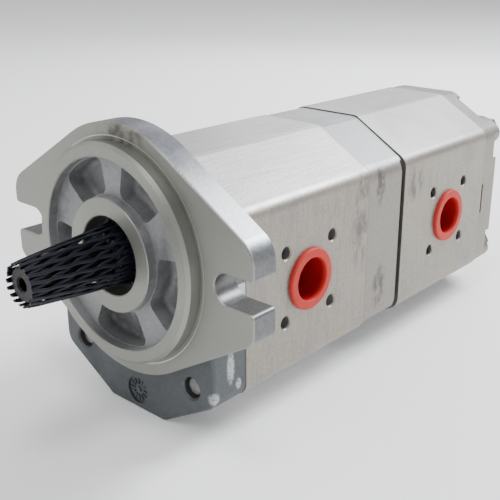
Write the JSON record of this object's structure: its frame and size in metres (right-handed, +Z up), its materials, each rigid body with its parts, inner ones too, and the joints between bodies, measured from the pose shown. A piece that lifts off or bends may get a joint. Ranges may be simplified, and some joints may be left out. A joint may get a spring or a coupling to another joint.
{
  "type": "hydraulic gear pump",
  "caption": "Tandem external gear pump: two aluminium gear sections in line behind a slotted pilot flange, with a splined shaft in a net sleeve and plugged side ports.",
  "frame": {"origin": "centre of the mounting pilot, on the flange's mounting face", "axes": "+Y runs along the drive shaft's axis towards the rear cover, so the shaft end points to -Y; +Z is up, from the driven gears to the drive gears; +X is the pump's right side seen from the shaft end"},
  "size_m": [0.13, 0.2641, 0.1139],
  "materials": {
    "machined_casting": "machined front faces, sand-cast sides",
    "extruded_aluminium": "extruded, fine lengthwise lines, satin",
    "cast_aluminium": "die-cast, satin, slightly blue-grey",
    "bearing_aluminium": "machined",
    "gear_steel": "ground, hardened",
    "bolt_steel": "oiled, slightly rusty at the tips",
    "bearing_bronze": "sintered bronze on a steel back",
    "seal_rubber": "matt",
    "backup_plastic": "matt",
    "spring_steel": "phosphated",
    "red_plastic": "translucent, satin",
    "black_net": "extruded polyethylene net"
  },
  "bodies": {
    "housing": {"balance_seal_strips": "backup_plastic", "balance_seals": "seal_rubber", "bolt_washers": "bolt_steel", "centre_section": "cast_aluminium", "centre_section_front_ring_seal": "seal_rubber", "centre_section_rear_ring_seal": "seal_rubber", "dowel_pins": "gear_steel", "front_body": "extruded_aluminium", "front_cover": "machined_casting", "front_cover_ring_seal": "seal_rubber", "front_section_inner_bearing_block": "bearing_aluminium", "front_section_inner_bearing_bushes": "bearing_bronze", "front_section_outer_bearing_block": "bearing_aluminium", "front_section_outer_bearing_bushes": "bearing_bronze", "rear_body": "extruded_aluminium", "rear_cover": "cast_aluminium", "rear_cover_ring_seal": "seal_rubber", "rear_section_inner_bearing_block": "bearing_aluminium", "rear_section_inner_bearing_bushes": "bearing_bronze", "rear_section_outer_bearing_block": "bearing_aluminium", "rear_section_outer_bearing_bushes": "bearing_bronze", "seal_retaining_ring": "spring_steel", "shaft_seal": "seal_rubber", "through_bolts": "bolt_steel"},
    "drive_train": {"front_drive_gear": "gear_steel", "shaft_coupling": "gear_steel", "rear_drive_gear": "gear_steel"},
    "front_driven": {"front_driven_gear": "gear_steel"},
    "rear_driven": {"rear_driven_gear": "gear_steel"},
    "sleeve": {"mesh_sleeve": "black_net"},
    "front_left_plug": {"front_left_port_plug": "red_plastic"},
    "front_right_plug": {"front_right_port_plug": "red_plastic"},
    "rear_left_plug": {"rear_left_port_plug": "red_plastic"},
    "rear_right_plug": {"rear_right_port_plug": "red_plastic"}
  },
  "joints": [
    {"name": "drive_spin", "type": "hinge", "parent": "housing", "child": "drive_train", "pos_m": [0, 0, 0], "axis": [0, 1, 0], "continuous": true},
    {"name": "front_driven_spin", "type": "hinge", "parent": "housing", "child": "front_driven", "pos_m": [0, 0, -0.0321], "axis": [0, 1, 0], "continuous": true},
    {"name": "rear_driven_spin", "type": "hinge", "parent": "housing", "child": "rear_driven", "pos_m": [0, 0, -0.0321], "axis": [0, 1, 0], "continuous": true},
    {"name": "sleeve_pull", "type": "slide", "parent": "drive_train", "child": "sleeve", "axis": [0, -1, 0], "range_m": [0, 0.06]},
    {"name": "front_left_plug_pull", "type": "slide", "parent": "housing", "child": "front_left_plug", "axis": [-1, 0, 0], "range_m": [0, 0.02]},
    {"name": "front_right_plug_pull", "type": "slide", "parent": "housing", "child": "front_right_plug", "axis": [1, 0, 0], "range_m": [0, 0.02]},
    {"name": "rear_left_plug_pull", "type": "slide", "parent": "housing", "child": "rear_left_plug", "axis": [-1, 0, 0], "range_m": [0, 0.02]},
    {"name": "rear_right_plug_pull", "type": "slide", "parent": "housing", "child": "rear_right_plug", "axis": [1, 0, 0], "range_m": [0, 0.02]}
  ],
  "couplings": [
    {"joint": "front_driven_spin", "follows": "drive_spin", "ratio": -1},
    {"joint": "rear_driven_spin", "follows": "drive_spin", "ratio": -1}
  ]
}
